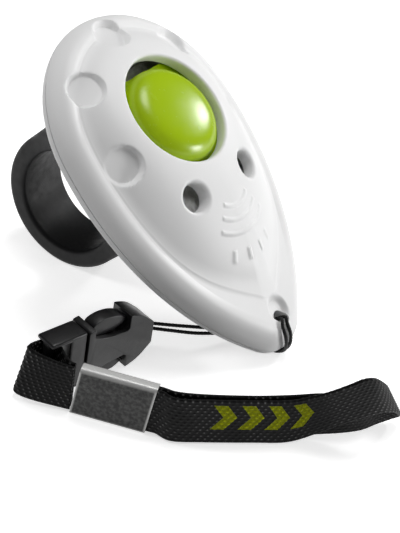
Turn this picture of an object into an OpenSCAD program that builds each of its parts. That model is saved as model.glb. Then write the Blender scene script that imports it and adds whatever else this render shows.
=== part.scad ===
// Finger clicker for animal training, on a short lanyard with a side-release
// buckle and a webbing loop. It stands on its finger ring and its nose, and
// the lanyard lies on the same floor, webbing on edge.
//
// World frame: the origin is the centre of the finger ring's bore, Y is its
// axis, +Z is up and +X runs towards the nose. The floor is one outer radius
// of the ring below the origin.
// Case frame: x to the nose, y across, z out of the button face; its origin is
// on the parting plane under the centre of the button opening.

/* [Case outline] */
// Radius of the round blunt end in plan
blunt_r = 25; // [24:0.5:26]
// Distance of the blunt arc's centre ahead of the opening
blunt_x = 1.5; // [1:0.25:2]
// Radius of the nose in plan
nose_r = 9; // [8:0.5:10]
// Distance between the centres of the blunt arc and the nose arc
nose_dx = 40.5; // [39:0.5:42]
// Radius of the long side arcs
side_r = 58; // [56:1:64]

/* [Case section] */
// Width of the rounded rim band
rim_w = 4.2; // [3.8:0.1:4.6]
// Height of the rim band above the parting plane
rim_h = 4.5; // [4.2:0.1:4.8]
// Height of the opening's centre above the parting plane
dome_h = 9.3; // [9:0.1:9.6]
// Wall thickness of the shells
wall = 2; // [1.8:0.1:2.2]
// Depth of the back shell below the parting plane
back_h = 5; // [4.8:0.1:5.4]

/* [Button] */
// Radius of the round opening for the button
opening_r = 11.5; // [11.3:0.1:11.7]
// Lean of the opening and of the button towards the blunt end, in degrees
button_tilt = 7.5; // [6:0.5:9]
// Radius of the button's crown
button_r = 10; // [9.8:0.1:10.1]
// Distance of the crown's centre ahead of the opening's centre
button_dx = 0.5; // [0.3:0.1:0.6]
// Radius of the button's flange under the opening
flange_r = 12.6; // [12.3:0.1:12.8]

/* [Holes and dimples] */
// Distance of the ring of dimples and sound holes from the opening's centre
ring_of_holes_r = 18.6; // [18.2:0.1:19]
// Radius of a blind dimple
dimple_r = 3.7; // [3.4:0.1:3.8]
// Radius of a sound hole
sound_r = 2.8; // [2.4:0.1:3]
// Share of its length by which the dome stops short of the nose
nose_flat = 0.13; // [0.08:0.01:0.16]
// Distance of the lanyard hole ahead of the opening
lanyard_x = 45.4; // [45:0.1:45.6]
// Radius of the lanyard hole
lanyard_r = 1.6; // [1.5:0.05:1.7]

/* [Finger ring] */
// Radius of the ring's bore
ring_bore_r = 11; // [10:0.25:11.5]
// Outer radius of the ring
ring_outer_r = 14.8; // [14.4:0.1:15.4]
// Position of the ring's centre ahead of the opening
ring_x = 4.2; // [3.6:0.2:4.8]
// Distance of the ring's centre below the parting plane
ring_drop = 23.8; // [23:0.2:24.6]
// Width of the ring at the bottom
ring_w = 13; // [12:0.5:14]
// Width of the ring where it meets the case
saddle_w = 18; // [17:0.5:19]

/* [Lanyard] */
// Diameter of the cord
cord_d = 0.75; // [0.7:0.05:0.9]
// Width of the webbing
web_w = 10; // [9.5:0.25:10.25]
// Thickness of the webbing
web_t = 0.9; // [0.8:0.05:1]
// Length of the metal crimp
crimp_l = 14.3; // [13:0.1:15]

/* [Buckle] */
// Width of the buckle body
buckle_w = 12.4; // [12.2:0.1:12.8]
// Thickness of the buckle
buckle_t = 5.4; // [5.2:0.1:5.6]
// Distance from the webbing bar to the socket's mouth
mouth_x = 7.3; // [7.2:0.1:7.5]
// Distance from the webbing bar to the end of the socket's tail
tail_x = 23.3; // [23:0.1:24]

/* [Hidden] */

$fn = 64;
white = "whitesmoke";
lime = "yellowgreen";
black = "#202020";
steel = "silver";

// ---- pose of the case: it rests on the ring and on the nose
nose_x = blunt_x + nose_dx;
rest_dx = nose_x + nose_r - rim_h - ring_x;
pitch = atan2(ring_drop, rest_dx) + asin((ring_outer_r - rim_h) / norm([rest_dx, ring_drop]));
case_x = -(ring_x * cos(pitch) - ring_drop * sin(pitch));
case_z = ring_x * sin(pitch) + ring_drop * cos(pitch);
floor_z = -ring_outer_r;

module posed() {
  translate([case_x, 0, case_z]) rotate([0, pitch, 0]) children();
}

// Frame of the button: z along its travel, origin at the opening's centre
module on_button() {
  translate([0, 0, dome_h]) rotate([0, -button_tilt, 0]) children();
}

// ---- plan outline: blunt arc, side arc, nose arc, mirrored about y = 0
side_a = side_r - blunt_r;
side_b = side_r - nose_r;
side_cx = (side_a * side_a - side_b * side_b + nose_dx * nose_dx) / (2 * nose_dx);
side_cy = -sqrt(side_a * side_a - side_cx * side_cx);
join_a = atan2(-side_cy, -side_cx);
join_b = atan2(-side_cy, nose_dx - side_cx);
blunt_n = 11;
side_n = 16;
nose_n = 9;

// Outward direction, in degrees, at each point of the upper half outline
half_dirs = concat(
  [for (i = [0:blunt_n - 1]) 180 + (join_a - 180) * i / blunt_n],
  [for (i = [0:side_n - 1]) join_a + (join_b - join_a) * i / side_n],
  [for (i = [0:nose_n - 1]) join_b * (1 - i / nose_n)]
);
half_n = len(half_dirs);
dirs = concat([0], [for (i = [half_n - 1:-1:0]) half_dirs[i]], [for (i = [1:half_n - 1]) -half_dirs[i]]);

// Point of the outline whose outward direction is a, moved in by inset
function upper_point(a, inset) =
  a >= join_a ? [blunt_x + (blunt_r - inset) * cos(a), (blunt_r - inset) * sin(a)]
  : a >= join_b ? [blunt_x + side_cx + (side_r - inset) * cos(a), side_cy + (side_r - inset) * sin(a)]
  : [nose_x + (nose_r - inset) * cos(a), (nose_r - inset) * sin(a)];
function outline(a, inset) =
  let (p = upper_point(abs(a), inset))
  [p[0], a < 0 ? -p[1] : p[1]];

// Closed ring of points at one inset and one height
function rim_ring(inset, z) = [for (a = dirs) [outline(a, inset)[0], outline(a, inset)[1], z]];

// Height of the opening's plane above a point of the plan
function opening_z(x) = dome_h + x * tan(button_tilt);

// The dome stops short of the nose and leaves it flat for the lanyard hole
function dome_base(a, inset) =
  let (b = outline(a, inset), c = max(b[0], 0) / norm(b))
  b * (1 - nose_flat * pow(c, 12));

// Point of the dome: s runs from 0 at the opening to 1 at the rim band.
// r_open is the radius where s = 0 and drop lowers the surface.
function dome_point(a, s, r_open, inset, drop) =
  let (
    b = dome_base(a, inset),
    q = r_open * b / norm(b),
    p = q + (b - q) * s,
    low = rim_h - drop,
    high = opening_z(q[0]) - drop,
    k = pow(1 - pow(s, 2.2), 1.1)
  )
  [p[0], p[1], low + (high - low) * k];
function dome_ring(s, r_open, inset, drop) = [for (a = dirs) dome_point(a, s, r_open, inset, drop)];

// Solid skin through a list of rings. Closed skins return to the first ring,
// open skins end in two flat caps.
module skin(rings, closed) {
  n = len(rings[0]);
  m = len(rings);
  last = closed ? m - 1 : m - 2;
  sides = [for (i = [0:last], j = [0:n - 1])
    let (
      a = i * n + j,
      b = i * n + (j + 1) % n,
      c = ((i + 1) % m) * n + j,
      d = ((i + 1) % m) * n + (j + 1) % n
    )
    each [[a, c, b], [b, c, d]]];
  caps = closed ? [] : [[for (j = [0:n - 1]) j], [for (j = [n - 1:-1:0]) (m - 1) * n + j]];
  polyhedron(points = [for (r = rings) each r], faces = concat(sides, caps));
}

// ---- case shells
seam = 0.03;
rim_steps = [0, 18, 36, 54, 72, 90];
dome_steps = [0.94, 0.86, 0.76, 0.65, 0.53, 0.4, 0.27, 0.13, 0];
bore_land = 1.2;
skin_open_r = opening_r - bore_land;
lip_drop = 2.6;
hole_step = 360 / 7;
boss_spots = [[2, 17.8, 5.2], [2, -17.8, 5.2], [31, 8, 4], [31, -8, 4]];
boss_r = 2.5;
pilot_r = 0.85;

function quarter(w, h, t) = [w * (1 - cos(t)), h * sin(t)];

module shell_skin() {
  outer_rim = [for (t = rim_steps) let (q = quarter(rim_w, rim_h, t))
    rim_ring(q[0], seam + q[1] * (1 - seam / rim_h))];
  outer_dome = [for (s = dome_steps) dome_ring(s, skin_open_r, rim_w + 0.4, 0)];
  inner_dome = [for (i = [len(dome_steps) - 1:-1:0]) let (s = dome_steps[i])
    dome_ring(s, skin_open_r, rim_w + 1.4, wall + (lip_drop - wall) * (1 - s))];
  inner_rim = [for (t = [60, 30, 0]) let (q = quarter(rim_w - wall + 0.6, rim_h - wall, t))
    rim_ring(wall + q[0], seam + q[1])];
  skin(concat(outer_rim, outer_dome, inner_dome, inner_rim), true);
}

// Index of each hole round the opening, its slope and its surface height
sound_holes = [[0.56, 12, 9.65], [-0.56, 12, 9.65]];
dimples = [[1.5, 30, 6.6], [2.5, 28, 5.1], [3.5, 26, 4.7], [4.5, 28, 5.1], [5.5, 30, 6.6]];
dimple_depth = 1.1;

module hole_cut(spec, r, depth) {
  rotate([0, 0, hole_step * spec[0]])
    translate([ring_of_holes_r, 0, spec[2]])
      rotate([0, spec[1], 0])
        translate([0, 0, -depth]) cylinder(r = r, h = depth + 4);
}

nose_boss_r = 2.9;
recess_x = 43.6;
recess_r = 2.8;
recess_depth = 1;
recess_ball_r = (recess_r * recess_r + recess_depth * recess_depth) / (2 * recess_depth);

module top_shell() {
  color(white) posed() difference() {
    union() {
      shell_skin();
      for (b = boss_spots) translate([b[0], b[1], seam]) cylinder(r = boss_r, h = b[2] - seam);
      translate([lanyard_x, 0, seam]) cylinder(r = nose_boss_r, h = rim_h - 0.6 - seam);
    }
    on_button() translate([0, 0, -6]) cylinder(r = opening_r, h = 12);
    for (h = sound_holes) hole_cut(h, sound_r, 5);
    for (h = dimples) hole_cut(h, dimple_r, dimple_depth);
    for (b = boss_spots) translate([b[0], b[1], -1]) cylinder(r = pilot_r, h = b[2] - 0.2);
    translate([lanyard_x, 0, -1]) cylinder(r = lanyard_r, h = 9);
    translate([recess_x, 0, rim_h - recess_depth + recess_ball_r]) sphere(r = recess_ball_r);
  }
}

floor_in = -back_h + wall;
screw_head_r = 1.9;
screw_head_h = 1.2;
screw_r = 0.8;
ring_screw_x = [ring_x - 5.4, ring_x + 5.4];
clamp_y = 4.5;
clamp_x = -14.2;
leaf_z = 0.6;
leaf_t = 0.4;
post_r = 2.4;

module back_skin() {
  outer = [for (t = [90, 72, 54, 36, 18, 0]) let (q = quarter(rim_w, rim_h - 1, t))
    rim_ring(q[0], -seam - q[1])];
  inner = [for (t = [0, 30, 60, 90]) let (q = quarter(rim_w - wall + 0.6, rim_h - 1 - wall, t))
    rim_ring(wall + q[0], -seam - q[1])];
  skin(concat([rim_ring(rim_w + 4, -back_h)], outer, inner, [rim_ring(rim_w + 4.4, floor_in)]), false);
}

module back_shell() {
  color(white) posed() difference() {
    union() {
      back_skin();
      for (b = boss_spots) translate([b[0], b[1], -3.4]) cylinder(r = boss_r, h = 3.4 - seam);
      for (s = [-1, 1])
        translate([clamp_x, s * clamp_y, floor_in - 0.5]) cylinder(r = post_r, h = leaf_z - floor_in + 0.5);
      translate([lanyard_x, 0, -3]) cylinder(r = nose_boss_r, h = 3 - seam);
    }
    for (b = boss_spots) {
      translate([b[0], b[1], -8]) cylinder(r = screw_r + 0.25, h = 10);
      translate([b[0], b[1], -8]) cylinder(r = screw_head_r + 0.2, h = 8 - back_h + screw_head_h + 0.8);
    }
    for (x = ring_screw_x) translate([x, 0, -8]) cylinder(r = screw_r + 0.25, h = 10);
    for (s = [-1, 1]) translate([clamp_x, s * clamp_y, floor_in + 0.2]) cylinder(r = pilot_r, h = 8);
    translate([lanyard_x, 0, -6]) cylinder(r = lanyard_r, h = 9);
  }
}

// ---- screws: head at z = 0 facing down, shank towards +z
module screw(l) {
  difference() {
    union() {
      rotate_extrude() polygon([[0, 0], [screw_head_r - 0.4, 0], [screw_head_r, 0.4],
                                [screw_head_r, screw_head_h], [0, screw_head_h]]);
      translate([0, 0, screw_head_h - 0.1]) cylinder(r = screw_r, h = l);
    }
    for (a = [0, 90]) rotate([0, 0, a]) translate([-1.1, -0.22, -1]) cube([2.2, 0.44, 1.6]);
  }
}

module case_screws() {
  color(steel) posed() for (b = boss_spots) translate([b[0], b[1], -back_h + 0.7]) screw(5.2);
}

// ---- button: convex crown set a little ahead, flange cut straight on the blunt side
flange_top = -3.1;
flange_t = 1.1;
stem_r = 2.2;
stem_ball_z = (leaf_z + leaf_t + stem_r + 0.06 - dome_h) / cos(button_tilt);
flange_chord = -9.7;

module button_cap() {
  crown = [[0, 1.2], [4, 1.05], [button_r - 3.4, 0.75], [button_r - 1.8, 0.2], [button_r - 0.7, -0.6],
           [button_r, -1.6], [button_r + 0.3, flange_top + 0.3], [button_r + 0.35, flange_top]];
  color(lime) posed() on_button() {
    difference() {
      union() {
        translate([button_dx, 0, 0])
          rotate_extrude()
            polygon(concat(crown, [[button_r + 0.35, flange_top - flange_t], [0, flange_top - flange_t]]));
        difference() {
          translate([0, 0, flange_top - flange_t]) cylinder(r = flange_r, h = flange_t);
          translate([flange_chord - 10, -20, flange_top - 4]) cube([10, 40, 6]);
        }
      }
      difference() {
        translate([0, 0, flange_top - flange_t - 1]) cylinder(r = button_r - 2.2, h = flange_t + 2.4);
        translate([0, 0, flange_top - flange_t - 2]) cylinder(r = stem_r, h = flange_t + 5);
      }
    }
    translate([0, 0, stem_ball_z]) cylinder(r = stem_r, h = flange_top - stem_ball_z);
    translate([0, 0, stem_ball_z]) sphere(r = stem_r);
  }
}

// ---- click leaf: a steel strip that snaps over when the button bends it
leaf_root_x = -11.4;
leaf_tip_x = 21;
leaf_gap = 0.12;
bump_x = 10;

module click_leaf() {
  color(steel) posed() difference() {
    union() {
      translate([0, 0, leaf_z]) linear_extrude(height = leaf_t)
        polygon([[leaf_root_x + leaf_gap, -8], [leaf_tip_x - 3, -11.6], [leaf_tip_x, -9], [leaf_tip_x, 9],
                 [leaf_tip_x - 3, 11.6], [leaf_root_x + leaf_gap, 8]]);
      translate([bump_x, 0, leaf_z - 5.4]) sphere(r = 6.2);
    }
    translate([bump_x, 0, leaf_z - 5.8]) sphere(r = 6.2);
    translate([bump_x - 8, -8, leaf_z - 14]) cube([16, 16, 14]);
  }
}

module leaf_root() {
  color(steel) posed() difference() {
    translate([clamp_x - 3.2, -8, leaf_z + 0.01]) cube([leaf_root_x - clamp_x + 3.2, 16, leaf_t]);
    for (s = [-1, 1]) translate([clamp_x, s * clamp_y, leaf_z - 1]) cylinder(r = screw_r + 0.25, h = 3);
  }
}

clamp_t = 1;
module leaf_clamp() {
  color(steel) posed() difference() {
    translate([clamp_x - 2.4, -8, leaf_z + leaf_t + 0.02]) cube([leaf_root_x - clamp_x + 2.4, 16, clamp_t]);
    for (s = [-1, 1]) translate([clamp_x, s * clamp_y, leaf_z - 1]) cylinder(r = screw_r + 0.25, h = 4);
  }
}

module clamp_screws() {
  top = leaf_z + leaf_t + clamp_t + 0.04 + screw_head_h;
  color(steel) posed() for (s = [-1, 1])
    translate([clamp_x, s * clamp_y, top]) rotate([180, 0, 0]) screw(4.2);
}

// ---- finger ring with its saddle, plate and screws
saddle_top = -back_h - 0.03;
saddle_flare = 1.6;
plate_t = 1.5;
plate_l = 22;
plate_w = 8;

module ring_section() {
  z0 = -ring_drop;
  difference() {
    union() {
      translate([ring_x, z0]) circle(r = ring_outer_r, $fn = 96);
      polygon([[ring_x - ring_outer_r, z0], [ring_x + ring_outer_r, z0],
               [ring_x + ring_outer_r - 0.2, saddle_top - 5],
               [ring_x + ring_outer_r + saddle_flare, saddle_top],
               [ring_x - ring_outer_r - saddle_flare, saddle_top],
               [ring_x - ring_outer_r + 0.2, saddle_top - 5]]);
    }
    translate([ring_x, z0]) circle(r = ring_bore_r, $fn = 96);
  }
}

module finger_ring() {
  bottom = -ring_drop - ring_outer_r - 1;
  color(black) posed() difference() {
    intersection() {
      translate([0, 20, 0]) rotate([90, 0, 0]) linear_extrude(height = 40) ring_section();
      translate([-60, 0, 0]) rotate([90, 0, 90]) linear_extrude(height = 120)
        polygon([[-ring_w / 2, bottom], [ring_w / 2, bottom], [ring_w / 2, -ring_drop],
                 [saddle_w / 2, saddle_top - 2], [saddle_w / 2, saddle_top],
                 [-saddle_w / 2, saddle_top], [-saddle_w / 2, saddle_top - 2], [-ring_w / 2, -ring_drop]]);
    }
    translate([ring_x - plate_l / 2 - 0.05, -plate_w / 2 - 0.05, saddle_top - plate_t - 0.05])
      cube([plate_l + 0.1, plate_w + 0.1, 4]);
    for (x = ring_screw_x) translate([x, 0, saddle_top - 5]) cylinder(r = screw_r + 0.2, h = 6);
  }
}

module ring_plate() {
  color(steel) posed() difference() {
    translate([ring_x - plate_l / 2, -plate_w / 2, saddle_top - plate_t]) cube([plate_l, plate_w, plate_t]);
    for (x = ring_screw_x) translate([x, 0, saddle_top - 3]) cylinder(r = screw_r + 0.05, h = 4);
  }
}

module ring_screws() {
  color(steel) posed() for (x = ring_screw_x)
    translate([x, 0, floor_in + 0.02 + screw_head_h]) rotate([180, 0, 0]) screw(5);
}

// ---- cord: one loop, hitched round the nose and led to the buckle's tail
cord_r = cord_d / 2;
strand_y = cord_r + 0.08;

function unit(v) = v / norm(v);
function heading(p, i) = unit(p[min(i + 1, len(p) - 1)] - p[max(i - 1, 0)]);

// Round cord along a list of points, none of its runs parallel to side
module cord_path(points, r, side) {
  skin([for (i = [0:len(points) - 1])
    let (
      t = heading(points, i),
      u = unit(cross(t, side)),
      v = cross(u, t)
    )
    [for (a = [0:24:359]) points[i] + r * (cos(a) * u + sin(a) * v)]], false);
}

nose_end = nose_x + nose_r;
cord_gap = 0.6;
nose_low = rim_h - 1;

// Point of the cord's run round the nose, t degrees above the parting plane
function over_nose(t, y, half) = [
  nose_end - rim_w + (rim_w + cord_gap) * cos(t), y, ((t > 0 ? rim_h : nose_low) + cord_gap) * sin(t), half
];

// Middle of the two strands and half the distance between them
hitch = [
  [lanyard_x, 0, -5.4, strand_y], [lanyard_x, 0, 2.2, strand_y], [lanyard_x + 0.1, -0.2, 4.4, strand_y],
  [lanyard_x + 0.45, -0.7, 5.15, 0.7], over_nose(90, -1.5, 0.85), over_nose(65, -1.7, 0.85),
  over_nose(40, -1.4, 0.75), over_nose(15, -0.6, 0.6), over_nose(-10, 0, strand_y),
  over_nose(-35, 0, strand_y), over_nose(-65, 0, strand_y),
  [lanyard_x + 1.5, 0, -5.4, strand_y]
];

module cord_hitch() {
  color(black) posed() for (s = [-1, 1])
    cord_path([for (p = hitch) [p[0], p[1] + s * p[3], p[2]]], cord_r, [0, 1, 0]);
}

// ---- buckle placement: on its edge on the floor, tail towards the nose
bar_at = [23.6, -41.2, floor_z + buckle_w / 2];
buckle_yaw = 75.4;
hole_back = [lanyard_x - 0.6, -5.4];
cord_from = [case_x + hole_back[0] * cos(pitch) + hole_back[1] * sin(pitch) - 0.4, -cord_r - strand_y - 0.3,
             case_z - hole_back[0] * sin(pitch) + hole_back[1] * cos(pitch) - 0.2];
cord_to = bar_at + (tail_x - 0.25) * [cos(buckle_yaw), sin(buckle_yaw), 0];

// Buckle frame: x along the buckle to its tail, y across its width (world up)
module on_buckle() {
  translate(bar_at) rotate([0, 0, buckle_yaw]) rotate([90, 0, 0]) children();
}

module cord_strands() {
  mid = (cord_from + cord_to) / 2;
  color(black) for (s = [-1, 1])
    cord_path([
      cord_from + [0, 0, s * strand_y],
      mid + [0.6, 0, s * (strand_y + 0.35)],
      cord_to + [0, 0, s * (strand_y + 0.12)]
    ], cord_r, [0, 0, 1]);
}

half_w = buckle_w / 2;
half_t = buckle_t / 2;
ferrule_x = tail_x - 4.2;
ferrule_r = 1.75;

module cord_ferrule() {
  color(steel) on_buckle() difference() {
    translate([ferrule_x, 0, 0]) rotate([0, 90, 0]) cylinder(r = ferrule_r, h = 2.6);
    for (s = [-1, 1])
      translate([ferrule_x - 1, s * (strand_y + 0.12), 0]) rotate([0, 90, 0]) cylinder(r = cord_r, h = 5);
  }
}

socket_wall = 1.1;
window_x = [8.8, 17.4];
tail_half = 2.6;

module socket_outline() {
  polygon([[mouth_x, -half_w + 0.5], [mouth_x + 0.5, -half_w], [16.5, -half_w], [19, -half_w + 0.7],
           [21.2, -half_w + 2.3], [tail_x, -tail_half], [tail_x, tail_half],
           [21.2, half_w - 2.3], [19, half_w - 0.7], [16.5, half_w],
           [mouth_x + 0.5, half_w], [mouth_x, half_w - 0.5]]);
}

module buckle_socket() {
  color(black) on_buckle() difference() {
    translate([0, 0, -half_t]) linear_extrude(height = buckle_t) socket_outline();
    translate([mouth_x - 1, -half_w + socket_wall, -half_t + socket_wall])
      cube([window_x[1] - mouth_x + 1, buckle_w - 2 * socket_wall, buckle_t - 2 * socket_wall]);
    for (s = [-1, 1]) scale([1, s, 1])
      translate([window_x[0], half_w - 3.9, -half_t - 1])
        cube([window_x[1] - window_x[0], 5, buckle_t + 2]);
    translate([ferrule_x - 0.1, 0, 0]) rotate([0, 90, 0]) cylinder(r = ferrule_r + 0.05, h = 2.8);
    translate([ferrule_x, -strand_y - cord_r - 0.3, -cord_r - 0.35])
      cube([8, 2 * (strand_y + cord_r + 0.3), 2 * cord_r + 0.7]);
  }
}

bar_r = 1;
slot_x = 3.4;
web_slot = web_w + 0.4;
arm_y = 3.3;
arm_t = 1.5;

module buckle_plug() {
  color(black) on_buckle() {
    difference() {
      translate([-bar_r, -half_w, -half_t + 0.3]) cube([mouth_x - 0.15 + bar_r, buckle_w, buckle_t - 0.6]);
      translate([-bar_r - 1, -web_slot / 2, -half_t - 1]) cube([slot_x + bar_r + 1, web_slot, buckle_t + 2]);
    }
    translate([0, -web_slot / 2 - 0.4, 0]) rotate([-90, 0, 0]) cylinder(r = bar_r, h = web_slot + 0.8);
    translate([mouth_x - 1, -1, -1.1]) cube([9.4, 2, 2.2]);
  }
}

// Latch arm on the +y side: a flexing bar, a shoulder that catches the window
// and a curved grip outside the socket
module latch_arm() {
  on_buckle_arm = [
    [mouth_x - 0.05, arm_y - 0.4], [14.2, arm_y + 0.1], [16.2, arm_y + 0.9], [17.1, arm_y + 1.9],
    [17.1, half_w - 0.9], [15.6, half_w - 0.1], [13.4, half_w + 0.5], [11.2, half_w + 0.6], [9.4, half_w + 0.1],
    [9.0, half_w - 0.6], [9.2, arm_y + arm_t + 0.2], [mouth_x - 0.05, arm_y + arm_t]
  ];
  translate([0, 0, -half_t + socket_wall + 0.15]) linear_extrude(height = buckle_t - 2 * socket_wall - 0.3)
    polygon(on_buckle_arm);
}

module latch_arm_upper() {
  color(black) on_buckle() latch_arm();
}

module latch_arm_lower() {
  color(black) on_buckle() mirror([0, 1, 0]) latch_arm();
}

// ---- webbing and crimp, standing on edge on the floor
web_z = 0.4;
crimp_yaw = 19.3;
crimp_at = [30.3, -42, web_z];
crimp_plate = 0.35;
crimp_skew = 1.2;
layer_y = web_t / 2 + 0.06;

function turned(a) = [cos(a), sin(a), 0];
crimp_dir = turned(crimp_yaw);
crimp_end = crimp_at + crimp_l * crimp_dir;

// Ribbon of webbing between a lower and an upper edge
module ribbon(low, high) {
  skin([for (i = [0:len(low) - 1])
    let (
      up = high[i] - low[i],
      side = web_t / 2 * unit(cross(up, heading(low, i) + heading(high, i)))
    )
    [low[i] + side, high[i] + side, high[i] - side, low[i] - side]], false);
}
module strip(p) {
  ribbon(p, [for (q = p) q + [0, 0, web_w]]);
}
module on_floor() {
  translate([0, 0, floor_z]) children();
}

// Smooth curve through a list of points, n steps a span
function smooth(p, n) = [for (i = [0:len(p) - 2], j = [0:(i == len(p) - 2 ? n : n - 1)])
  let (
    t = j / n,
    m = (p[i + 1] - p[max(i - 1, 0)]) / 2,
    k = (p[min(i + 2, len(p) - 1)] - p[i]) / 2,
    d = p[i + 1] - p[i]
  )
  p[i] + t * m + t * t * (3 * d - 2 * m - k) + t * t * t * (m + k - 2 * d)];

// Cubic curve between two points with given directions
function curve(p, pd, q, qd, k, n) = [for (i = [0:n])
  let (t = i / n, u = 1 - t)
  u * u * u * p + 3 * u * u * t * (p + k * pd) + 3 * u * t * t * (q - k * qd) + t * t * t * q];

bar_foot = [bar_at[0], bar_at[1], (buckle_w - web_w) / 2];
wrap_r = bar_r + 0.2 + web_t / 2;
bulge_at = [20.6, -44.3, bar_foot[2]];

// Leaves the crimp, bulges past the end of the plug, goes round the bar and
// comes back to the crimp
module buckle_webbing() {
  side = layer_y * turned(crimp_yaw + 90);
  lead = turned(-16);
  path = concat(
    curve(crimp_at - side, -crimp_dir, bulge_at, turned(75), 3.5, 9),
    curve(bulge_at, turned(75), bar_foot + wrap_r * turned(165), turned(75), 1.5, 4),
    [for (a = [145:-20:85]) bar_foot + wrap_r * turned(a)],
    curve(bar_foot + wrap_r * turned(74), lead, crimp_at + side, crimp_dir, 2.2, 8)
  );
  // Points that fall on the one before them are left out
  steps = [for (i = [0:len(path) - 1]) if (i == 0 || norm(path[i] - path[max(i - 1, 0)]) > 0.01) path[i]];
  color(black) on_floor() strip(steps);
}

// Band of sheet metal seen from its side, its top edge ahead of its bottom edge
module crimp_band(lift, h, l) {
  polygon([[0, lift], [l, lift], [l + crimp_skew, lift + h], [crimp_skew, lift + h]]);
}

module strap_crimp() {
  t = 2 * layer_y + web_t + 0.1;
  color(steel) on_floor() translate([crimp_at[0], crimp_at[1], 0]) rotate([0, 0, crimp_yaw]) difference() {
    translate([0, t / 2 + crimp_plate, 0]) rotate([90, 0, 0]) linear_extrude(height = t + 2 * crimp_plate)
      crimp_band(0, web_w + 0.8, crimp_l);
    translate([-3, -t / 2, web_z - 0.03]) cube([crimp_l + 6, t, web_w + 0.06]);
  }
}

// The loop's two layers leave the crimp pressed together, then the near one
// lifts off the floor and leans back as it turns over the open end. Each entry
// is a point of the lower edge and the slant of the webbing there.
near_edge = [
  [[49.2, -36.8, 0.4], [0, 0]], [[53.8, -32.9, 0.3], [0, 0]], [[60.2, -27.1, 0.25], [0, 0]],
  [[65.2, -22.3, 0.2], [-0.05, -0.03]], [[68.8, -18.8, 2], [-0.07, -0.15]], [[71.6, -17, 4.4], [-0.09, -0.26]],
  [[73.9, -15.6, 6.2], [-0.1, -0.26]], [[76, -13.6, 7.4], [-0.15, -0.28]], [[77.8, -10.6, 7.4], [-0.2, -0.36]],
  [[78.8, -6.8, 5.4], [-0.25, -0.44]]
];
fold_edge = [[[78.9, -3.6, 2.6], [-0.26, -0.48]], [[77.4, -3.2, 0.9], [-0.25, -0.46]]];
far_edge = [
  [[75.6, -6, 0.25], [-0.2, -0.38]], [[74.1, -9.6, 0.2], [-0.13, -0.26]], [[71.6, -13, 0.2], [-0.08, -0.16]],
  [[68, -16.9, 0.2], [-0.05, -0.06]], [[64.2, -21.2, 0.2], [0, 0]], [[59.3, -26.2, 0.25], [0, 0]],
  [[52.9, -31.8, 0.3], [0, 0]], [[48.4, -35.2, 0.4], [0, 0]]
];

function top_edge(e) = e[0] + web_w * [e[1][0], e[1][1], sqrt(1 - e[1] * e[1])];

module wrist_webbing() {
  side = layer_y * turned(crimp_yaw + 90);
  into = crimp_at + 1.5 * crimp_dir;
  out = crimp_end + (crimp_skew + 0.9) * crimp_dir;
  edges = concat(
    [[into - side, [0, 0]], [crimp_end - side, [0, 0]], [out - side, [0, 0]]],
    near_edge, fold_edge, far_edge,
    [[out + side, [0, 0]], [crimp_end + side, [0, 0]], [into + side, [0, 0]]]
  );
  color(black) on_floor() ribbon(smooth([for (e = edges) e[0]], 4), smooth([for (e = edges) top_edge(e)], 4));
}

top_shell();
back_shell();
button_cap();
click_leaf();
leaf_root();
leaf_clamp();
clamp_screws();
case_screws();
finger_ring();
ring_plate();
ring_screws();
cord_hitch();
cord_strands();
cord_ferrule();
buckle_socket();
buckle_plug();
latch_arm_upper();
latch_arm_lower();
buckle_webbing();
strap_crimp();
wrist_webbing();
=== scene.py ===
"""Finger clicker on a lanyard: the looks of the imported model, in the CAD frame. Lengths are worked in mm."""
import math
import bmesh
import bpy
from mathutils import Matrix, Vector


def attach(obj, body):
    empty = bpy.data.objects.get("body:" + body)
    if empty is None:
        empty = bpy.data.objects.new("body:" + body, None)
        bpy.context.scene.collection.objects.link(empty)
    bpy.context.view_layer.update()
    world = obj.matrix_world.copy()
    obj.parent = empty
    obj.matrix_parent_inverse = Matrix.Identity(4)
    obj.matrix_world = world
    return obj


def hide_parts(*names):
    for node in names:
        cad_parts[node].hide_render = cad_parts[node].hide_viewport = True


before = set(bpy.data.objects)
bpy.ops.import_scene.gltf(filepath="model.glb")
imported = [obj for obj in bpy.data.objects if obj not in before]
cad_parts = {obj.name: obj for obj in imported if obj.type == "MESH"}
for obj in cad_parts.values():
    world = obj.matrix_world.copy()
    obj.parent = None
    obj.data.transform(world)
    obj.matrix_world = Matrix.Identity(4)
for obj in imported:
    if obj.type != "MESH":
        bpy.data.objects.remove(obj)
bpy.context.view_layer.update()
MM = 0.001

# ---- case: x runs to the nose and z up from the seam; the numbers are the CAD's
BLUNT_R = 25.0
BLUNT_X = 1.5
NOSE_R = 9.0
NOSE_DX = 40.5  # from the blunt end's centre to the nose's
SIDE_R = 58.0  # of the arcs that join the two ends
RIM_W = 4.2
RIM_H = 4.5
BACK_RIM_H = RIM_H - 1
DOME_H = 9.3
WALL = 2.0
BACK_H = 5.0
SEAM = 0.08  # each shell stops this far from the parting plane
NOSE_FLAT = 0.13  # the dome's foot draws back by this part at the nose
OPEN_R = 11.5
LIP = 0.55  # rounding of the opening's edge
TILT = math.radians(7.5)
HOLE_RING = 18.6  # the dimples and sound holes lie on this circle
DIMPLE_R = 3.7
DIMPLE_DEPTH = 1.1
SOUND_R = 2.8
SOUND_LIP = 0.9
CORD_X = 45.4  # where the cord's hole goes through both shells
CORD_HOLE_R = 1.6

# ---- button and finger ring
BUTTON_R = 10.0
BUTTON_DX = 0.5
FLANGE_R = 12.6
FLANGE_FLAT = 9.7  # the flange is cut straight this far from the middle
LEAF_TOP = 1.0  # height of the click leaf's upper face, just under the button's peg
PEG_R = 2.2
BORE_R = 11.0
RING_R = 14.8
RING_X = 4.2  # from the case's origin along to the bore's centre, and down to it
RING_DROP = 23.8
RING_W = 13.0
SADDLE_W = 18.0  # the band widens to this under the case
RING_EDGE = 0.9  # rounding of the band's edges

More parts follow.
